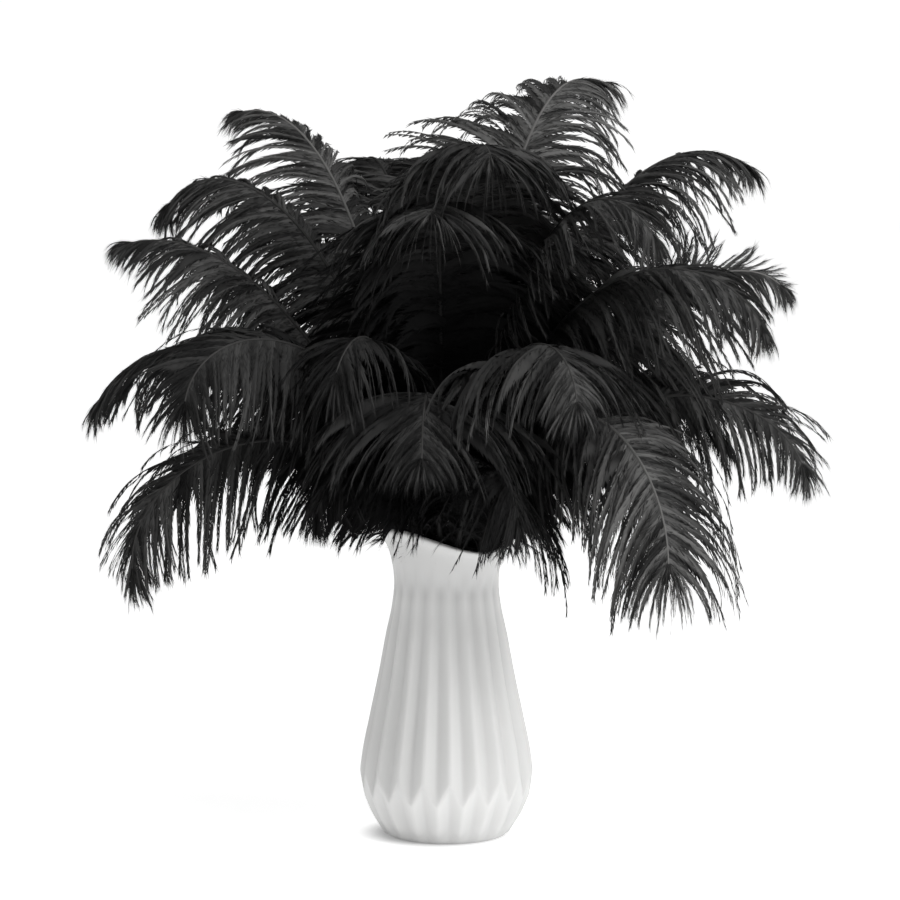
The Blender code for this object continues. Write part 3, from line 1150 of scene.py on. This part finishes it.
    def tuft(self, line: np.ndarray, rng: np.random.Generator) -> Sprays:
        """The fan of barbs that rounds off the tip.

        Args:
            line: Fine points of the quill.
            rng: The plume's random numbers.

        Returns:
            The barbs to be grown.
        """
        t, count = TUFT, TUFT.count
        pick = np.full(count, len(line) - 2)
        tangent = unit(np.gradient(line[-t.stretch :], axis=0))[-1:].repeat(count, 0)
        side, upper = self.axes(tangent, np.ones(count))
        angle = np.radians(np.linspace(-1.0, 1.0, count) * self.tip_angle())
        angle = angle + rng.normal(0.0, t.angle, count)
        lean = rng.uniform(*t.lean, count)
        start = swung(tangent, side, angle) - upper * lean[:, None]
        reach = self.barb * self.tip_share * FEATHERING.overreach
        length = reach * rng.uniform(*t.length, count)
        droop = (self.droop + FEATHERING.more_droop) * between(t.limp, self.hang)
        droop = np.clip(droop + rng.normal(0.0, t.droop, count), *t.droop_range)
        curl = rng.uniform(*t.curl, count)
        # Painted light: the tuft's barbs get the plume's full painted light.
        tooth, shade = np.full(count, BARBULES.length[1]), np.full(count, self.light)
        return Sprays(
            line[pick], unit(start), tangent, length, droop, FEATHERING.fall_power, curl,
            tangent * t.way - upper, np.arange(count), tooth, shade, 0.0, t.web,
        )

    def down(self, line: np.ndarray, sign: float, rng: np.random.Generator) -> Sprays:
        """Loose down at the vane's start, which hides the bare quills.

        Args:
            line: Fine points of the quill.
            sign: 1 for the first side and -1 for the second.
            rng: The plume's random numbers.

        Returns:
            The barbs to be grown.
        """
        d, count = DOWN, DOWN.count
        low, high = (reached(line, level) for level in d.levels)
        fine = line[low:high]
        pick = np.sort(rng.integers(0, len(fine), count))
        tangent = unit(np.gradient(fine, axis=0))[pick]
        side, upper = self.axes(tangent, np.zeros(count))
        angle = np.radians(rng.uniform(*d.angle, count))
        turn = np.radians(rng.uniform(*d.turn, count))
        start = swung(tangent, swung(side * sign, upper, turn), angle)
        length = rng.uniform(*d.length, count)
        droop = rng.uniform(*d.droop, count)
        curl = rng.uniform(*d.curl, count)
        # Painted light: the down gets only a little, so that it stays dark.
        tooth, shade = np.full(count, BARBULES.length[0]), np.full(count, d.shade)
        return Sprays(
            fine[pick], unit(start), tangent, length, droop, FEATHERING.fall_power, curl,
            -upper, np.arange(count), tooth, shade, 0.0, 0.0,
        )

    def build(self, barbs: bpy.types.Material, quill: bpy.types.Material) -> bpy.types.Object:
        """The plume, dressed, in place of its solid.

        Args:
            barbs: The barbs' material.
            quill: The quill's material.

        Returns:
            The plume's object.
        """
        rng = np.random.default_rng(int(self.heading) * 7 + self.seat)
        line, seat_angle = self.quill_line()
        sprays = [self.vane(line, sign, rng) for sign in (1.0, -1.0)]
        sprays += [self.down(line, sign, rng) for sign in (1.0, -1.0)]
        sprays.append(self.tuft(line, rng))
        rows = sum(len(spray.root) for spray in sprays)
        parts, row = [self.quill(line, self.foot(line[0], seat_angle))], 0
        for spray in sprays:
            parts.append(grown(spray, row, rows, rng))
            row += len(spray.root)
        surface, finishes = joined(parts)
        thing = mesh_object(f"{self.node}_feathered", surface, finishes, [barbs, quill])
        stand_for(thing, self.node)
        log.info("%s: %d barbs, %d triangles", thing.name, rows, len(surface.faces))
        return thing


def reached(line: np.ndarray, level: float) -> int:
    """The number of the first of a line's points that is as high as a level."""
    return int(np.argmax(line[:, 2] >= level))


def lock_numbers(count: int, rng: np.random.Generator) -> np.ndarray:
    """For each barb the number of the lock that it clings to."""
    sizes = rng.choice(FEATHERING.lock, count)
    return np.repeat(np.arange(count), sizes)[:count]


def by_lock(lock: np.ndarray, spread: float, rng: np.random.Generator) -> np.ndarray:
    """A random number for each lock, given to all of its barbs."""
    return rng.normal(0.0, spread, lock[-1] + 1)[lock]


def loosened(
    value: np.ndarray | float, lock: np.ndarray, spreads: tuple, rng: np.random.Generator
) -> np.ndarray:
    """The value for each barb, off by some for its lock and for itself."""
    return value + by_lock(lock, spreads[0], rng) + rng.normal(0.0, spreads[1], len(lock))


def bent(spray: Sprays) -> np.ndarray:
    """The barbs' lines, stepped out from the quill and kept off the vase.

    Args:
        spray: The barbs.

    Returns:
        Their points, of shape (barbs, steps + 1, 3).
    """
    f = FEATHERING
    points = [spray.root]
    step = (spray.length / f.steps)[:, None]
    for i in range(f.steps):
        v = (i + 0.5) / f.steps
        fall = (spray.droop * v**spray.fall_power)[:, None]
        way = spray.start * (1.0 - fall) - UP * fall
        way = unit(way + spray.curl_way * (spray.curl * v**3)[:, None])
        points.append(VASE.keep_out(points[-1] + way * step, f.wall_room))
    return np.stack(points, 1)


def gathered(lines: np.ndarray, spray: Sprays) -> np.ndarray:
    """Draws the barbs of each lock together towards their tips.

    Args:
        lines: The barbs' points.
        spray: The barbs.

    Returns:
        The points, moved.
    """
    count = spray.lock[-1] + 1
    total = np.zeros((count, *lines.shape[1:]))
    np.add.at(total, spray.lock, lines)
    middle = total / np.bincount(spray.lock, minlength=count)[:, None, None]
    share = spray.gather * np.linspace(0.0, 1.0, lines.shape[1]) ** FEATHERING.gather_power
    return lines + (middle[spray.lock] - lines) * share[None, :, None]


def grown(spray: Sprays, row: int, rows: int, rng: np.random.Generator) -> Surface:
    """The barbs as toothed strips: a spine with barbules on both sides.

    Args:
        spray: The barbs to grow.
        row: The first barb's row on the map.
        rows: How many rows the map has.
        rng: The plume's random numbers.

    Returns:
        The strips, every tooth joined to its spine.
    """
    b, m = BARBULES, ROW_MAP
    teeth = b.count
    spine = along(gathered(bent(spray), spray), teeth + 1)
    count, width = len(spine), teeth + 1
    forward = unit(np.diff(spine, axis=1))
    rachis = spray.rachis[:, None]
    across = unit(rachis - forward * np.sum(rachis * forward, -1)[..., None])
    over = np.cross(forward, across)
    u = np.linspace(0.0, 1.0, width)
    edge = spine + blade(spine, np.concatenate([across, across[:, -1:]], 1), u, spray, rng)
    middle = (u[:-1] + u[1:]) / 2.0
    lean = between(b.angle, ease(middle / b.angle_to))
    reach = spray.tooth[:, None] * np.minimum(1.0, b.first + middle / b.full_at)
    tips = []
    for base, sign in ((spine, -1.0), (edge, 1.0)):
        length = reach * rng.uniform(*b.length_spread, (count, teeth))
        angle = np.radians(lean * rng.uniform(*b.angle_spread, (count, teeth)))
        turn = np.radians(rng.normal(0.0, b.turn, (count, teeth)))
        way = swung(forward, swung(across * sign, over, turn), angle)
        tips.append(base[:, :-1] + unit(way - UP * b.sag) * length[..., None])
    near = np.arange(count)[:, None] * width + np.arange(teeth)[None]
    far = near + count * width
    first = 2 * count * width + np.arange(count * teeth).reshape(count, teeth)
    second = first + count * teeth
    along_quill, along_edge = (near, near + 1, far), (near + 1, far + 1, far)
    faces = triangles((along_quill, along_edge, (near + 1, near, first), (far, far + 1, second)))
    tone = between((b.least_tone, 1.0), rng.random(spray.lock[-1] + 1)[spray.lock])
    centre = (row + np.arange(count) + 0.5) / rows * m.barbs
    half = m.half / rows * m.barbs
    places, steps = (u, u, middle, middle), (-half, half, -m.teeth * half, m.teeth * half)
    # Painted light: full on the spine, less at the strip's edge, none at the teeth.
    shades = (spray.shade, spray.shade * b.edge_shade, np.zeros(count), np.zeros(count))
    return Surface(
        np.concatenate([part.reshape(-1, 3) for part in (spine, edge, *tips)]),
        faces,
        np.concatenate([on_row(place, centre + step) for place, step in zip(places, steps)]),
        np.concatenate([np.repeat(tone, len(place)) for place in places]),
        np.concatenate([np.tile(place, count) for place in places]),
        np.concatenate([np.repeat(shade, len(place)) for shade, place in zip(shades, places)]),
    )


def blade(
    spine: np.ndarray, across: np.ndarray, u: np.ndarray, spray: Sprays, rng: np.random.Generator
) -> np.ndarray:
    """How far each barb's strip is wide, and which way.

    Near the quill a strip reaches the next barb, so that the vane is closed
    there. It leaves that barb later if both are in the same lock.

    Args:
        spine: The barbs' points.
        across: The vane's direction along the quill at those points.
        u: How far along the barb each point is.
        spray: The barbs.
        rng: The plume's random numbers.

    Returns:
        The step from each point to the strip's other edge.
    """
    s = STRIP
    same = np.append(spray.lock[1:] == spray.lock[:-1], False)
    leave = np.where(same, s.leave, rng.uniform(*s.leave_loose, len(same))) * spray.web
    end = np.where(same, s.end, rng.uniform(*s.end_loose, len(same))) * max(spray.web, s.least_web)
    share = 1.0 - ease((u[None] - leave[:, None]) / (end - leave)[:, None])
    share = share * min(spray.web, 1.0)
    share[-1] = 0.0
    following = np.concatenate([spine[1:], spine[-1:]])
    wide = between(s.width, ease((u - s.taper_from) / (1.0 - s.taper_from)))
    return (following - spine) * share[..., None] + across * ((1.0 - share) * wide[None])[..., None]


def on_row(u: np.ndarray, centre: np.ndarray) -> np.ndarray:
    """Places on the map: every u on every barb's row."""
    return np.stack(np.broadcast_arrays(u[None], centre[:, None]), -1).reshape(-1, 2)


OUTER, INNER = Ring.OUTER, Ring.INNER
DOME = {"hang": 1, "web": 2.2, "spacing": 1.3}
# Each plume's light is its painted light, low for plumes in the bouquet's shade.
PLUMES = (
    Plume("plume_front_right", 300, OUTER, 18, (40, 390), (180, 375), (170, 300),
          barb=88, tip_share=0.3, light=0.58, **DOME),
    Plume("plume_front_centre", 264, OUTER, 16, (50, 350), (160, 345), (150, 262),
          barb=88, tip_share=0.3, light=0.4, **DOME),
    Plume("plume_left_front", 220, OUTER, 14, (60, 400), (235, 375), (222, 300),
          barb=75, droop=0.65, tip_share=0.5, roll=-27, hook=-0.2, hang=0.5, web=1.7,
          light=0.38),
    Plume("plume_centre_tall", 265, INNER, 5, (30, 330), (20, 500), (125, 425),
          barb=82, droop=0.5, tip_share=0.6, light=0.6, dark=0.6, bare=0, **DOME),
    Plume("plume_crown_front", 288, INNER, 6, (22, 360), (28, 545), (112, 462),
          barb=88, droop=0.6, tip_share=0.6, light=0.5, dark=0.4, **DOME),
    Plume("plume_right_low", 318, OUTER, 19, (70, 390), (215, 290), (195, 185),
          barb=80, droop=0.8, tip_share=0.65, full_to=0.8, roll=26, twist=16, hang=1,
          web=1.3, under=0.9, spacing=1.35, light=1.2, bare=0.8),
    Plume("plume_left_low", 188, OUTER, 12, (60, 354), (249, 264), (215, 172),
          barb=73, droop=0.65, tip_share=0.38, roll=-42, sweep=18, under=0.92),
    Plume("plume_right_front_high", 340, OUTER, 20, (40, 440), (215, 430), (230, 345),
          barb=76, droop=0.65, tip_share=0.28, roll=20, web=1.5),
    Plume("plume_crown_back", 42, INNER, 1, (26, 400), (84, 580), (162, 518),
          barb=96, droop=0.62, tip_share=0.3, roll=46, lay=16, twist=-60, turn=36, hang=0.7,
          web=1.2, under=0.87, spacing=1.36, light=1.4, bare=1),
    Plume("plume_left_top", 150, INNER, 3, (35, 330), (85, 552), (190, 500),
          barb=78, tip_share=0.25, roll=-26, hook=1, light=0.9, bare=1),
    Plume("plume_right_top", 28, OUTER, 2, (48, 415), (185, 530), (262, 457),
          barb=82, droop=0.78, tip_share=0.3, roll=-4, hook=1),
    Plume("plume_left_high", 172, OUTER, 11, (35, 420), (165, 515), (206, 426),
          barb=76, droop=0.7, tip_share=0.32, roll=-50, twist=18, hook=0.7, web=1.4,
          spacing=1.35),
    Plume("plume_right_high", 5, OUTER, 0, (55, 350), (212, 438), (243, 374),
          barb=86, droop=0.65, tip_share=0.22, full_to=0.55, roll=52, twist=-20, hook=-0.8,
          hang=0.3, under=0.95, light=0.8, bare=1),
    Plume("plume_left_middle", 192, OUTER, 13, (55, 330), (160, 450), (234, 410),
          barb=78, droop=0.65, tip_share=0.28, roll=-25, hook=0.5, web=1.3, spacing=1.35),
    Plume("plume_right_middle", 355, OUTER, 21, (62, 350), (242, 332), (251, 246),
          barb=78, droop=0.65, roll=46, sweep=12, hang=0.3, under=0.75),
    Plume("plume_left_far", 165, OUTER, 10, (66, 385), (244, 365), (265, 285),
          roll=-12, sweep=10, light=0.45),
    Plume("plume_right_inner", 325, INNER, 0, (30, 430), (130, 500), (178, 405), roll=15),
    Plume("plume_left_inner", 242, INNER, 4, (40, 360), (130, 390), (160, 320),
          droop=0.7, tip_share=0.6, web=1.7, light=0.25),
    Plume("plume_right_small", 10, OUTER, 1, (58, 335), (170, 355), (205, 262), light=0.45),
    Plume("plume_rim_right", 292, OUTER, 17, (52, 292), (122, 282), (130, 225),
          barb=80, droop=0.65, roll=-34, light=0.2, bare=0),
    Plume("plume_rim_left", 225, OUTER, 15, (50, 295), (117, 280), (125, 225),
          barb=54, droop=0.45, roll=15, light=0.2, bare=0),
    Plume("plume_back_tall", 97, INNER, 2, (30, 400), (100, 540), (190, 445), tip_share=0.6),
    Plume("plume_back_right_high", 72, OUTER, 5, (50, 380), (185, 460), (235, 355),
          tip_share=0.6),
    Plume("plume_back_left_high", 112, OUTER, 7, (40, 400), (130, 555), (205, 430),
          tip_share=0.6),
    Plume("plume_back_left_middle", 142, OUTER, 9, (60, 360), (225, 375), (255, 300)),
    Plume("plume_back_right_middle", 45, OUTER, 3, (60, 360), (225, 375), (250, 300)),
    Plume("plume_back_low", 92, OUTER, 6, (60, 345), (230, 312), (235, 215), tip_share=0.6),
    Plume("plume_back_left_low", 125, OUTER, 8, (60, 335), (210, 335), (235, 255)),
    Plume("plume_back_right_low", 60, OUTER, 4, (58, 345), (210, 335), (225, 250)),
)


# --- The studio -----------------------------------------------------------


@dataclass(frozen=True)
class Softbox:
    """A large square light: where it hangs, what it faces, size and power."""

    name: str
    place: tuple
    aim: tuple
    size: float
    watts: float

    def build(self) -> None:
        """Hangs the light."""
        lamp = bpy.data.lights.new(self.name, "AREA")
        lamp.shape = "SQUARE"
        lamp.size = self.size
        lamp.energy = self.watts
        thing = linked(self.name, lamp)
        thing.location = self.place
        thing.rotation_euler = facing(self.place, self.aim)


def facing(place_from: tuple, aim: tuple) -> Euler:
    """The rotation of a light or camera that looks from one point at another."""
    way = Vector(aim) - Vector(place_from)
    return way.to_track_quat("-Z", "Y").to_euler()


@dataclass(frozen=True)
class Studio:
    """A pale floor, soft light from the upper right, and the camera."""

    floor_half: float = 30.0
    floor_tone: float = 0.85
    floor_glow: float = 0.84
    # Painted contact shadow on the floor: its centre, its reach and its tone.
    painted_shadow_place: tuple = (-0.006, 0.0, 0.0)
    painted_shadow_reach: tuple = (0.034, 0.062)
    painted_shadow_tone: float = 0.3
    floor_roughness: float = 0.6
    dome: float = 0.17
    horizon: float = 1.02
    horizon_reach: tuple = (0.1, 0.22)
    camera_place: tuple = (0.0025, -2.190, 0.466)
    camera_aim: tuple = (0.0025, 0.0, 0.2705)
    lens: float = 126.0
    sensor: float = 36.0
    lights: tuple = (
        Softbox("key_light", (1.5, -1.0, 0.9), (0.0, 0.0, 0.2), 0.7, 14.0),
        Softbox("top_light", (0.2, -0.5, 1.9), (0.0, 0.0, 0.3), 0.9, 14.0),
    )

    def build(self) -> None:
        """Makes the floor, the lights and the camera."""
        self.floor()
        self.world()
        for light in self.lights:
            light.build()
        self.camera()

    def floor(self) -> None:
        """A pale floor, which is not part of the object, with a painted contact shadow round the
        vase's foot.
        """
        half = self.floor_half
        mesh = bpy.data.meshes.new("floor")
        corners = [(-half, -half, 0.0), (half, -half, 0.0), (half, half, 0.0), (-half, half, 0.0)]
        mesh.from_pydata(corners, [], [(0, 1, 2, 3)])
        graph = Graph.of_material("floor_white")
        tone, painted_shadow_colour = (self.floor_tone,) * 3, (self.painted_shadow_tone,) * 3
        far = graph.node(
            "ShaderNodeVectorMath",
            {"operation": "DISTANCE"},
            {0: graph.node("ShaderNodeTexCoord", out="Object"), 1: self.painted_shadow_place},
            out="Value",
        )
        # Painted shadow: the floor's colour and glow darken near the vase's foot.
        lit = graph.soft_step(far, self.painted_shadow_reach)
        paint = graph.dress(
            Base_Color=graph.mix(lit, painted_shadow_colour, tone),
            Roughness=self.floor_roughness,
            Emission_Color=graph.mix(lit, painted_shadow_colour, (1.0, 1.0, 1.0)),
            Emission_Strength=self.floor_glow,
        )
        mesh.materials.append(paint)
        linked("floor", mesh)

    def world(self) -> None:
        """A surrounding that is white round the horizon and dimmer above."""
        graph = Graph.of_world("studio")
        way = graph.node("ShaderNodeTexCoord", out="Generated")
        level = graph.node("ShaderNodeSeparateXYZ", inputs={0: way}, out="Z")
        fade = graph.soft_step(level, self.horizon_reach, (self.horizon, self.dome))
        bpy.context.scene.world = graph.dress(Strength=fade, Color=(1.0, 1.0, 1.0, 1.0))

    def camera(self) -> None:
        """The camera at the photograph's angle."""
        data = bpy.data.cameras.new("camera")
        data.lens = self.lens
        data.sensor_width = self.sensor
        thing = linked("camera", data)
        thing.location = self.camera_place
        thing.rotation_euler = facing(self.camera_place, self.camera_aim)
        bpy.context.scene.camera = thing
        bpy.context.scene.view_settings.view_transform = "Standard"


def main() -> None:
    """Builds the studio, the vase and the plumes."""
    logging.basicConfig(level=logging.INFO, format="%(message)s")
    Studio().build()
    VASE.build()
    barbs, quill = BarbBlack().material(), QuillBlack().material()
    for plume in PLUMES:
        plume.build(barbs, quill)


if __name__ == "__main__":
    main()
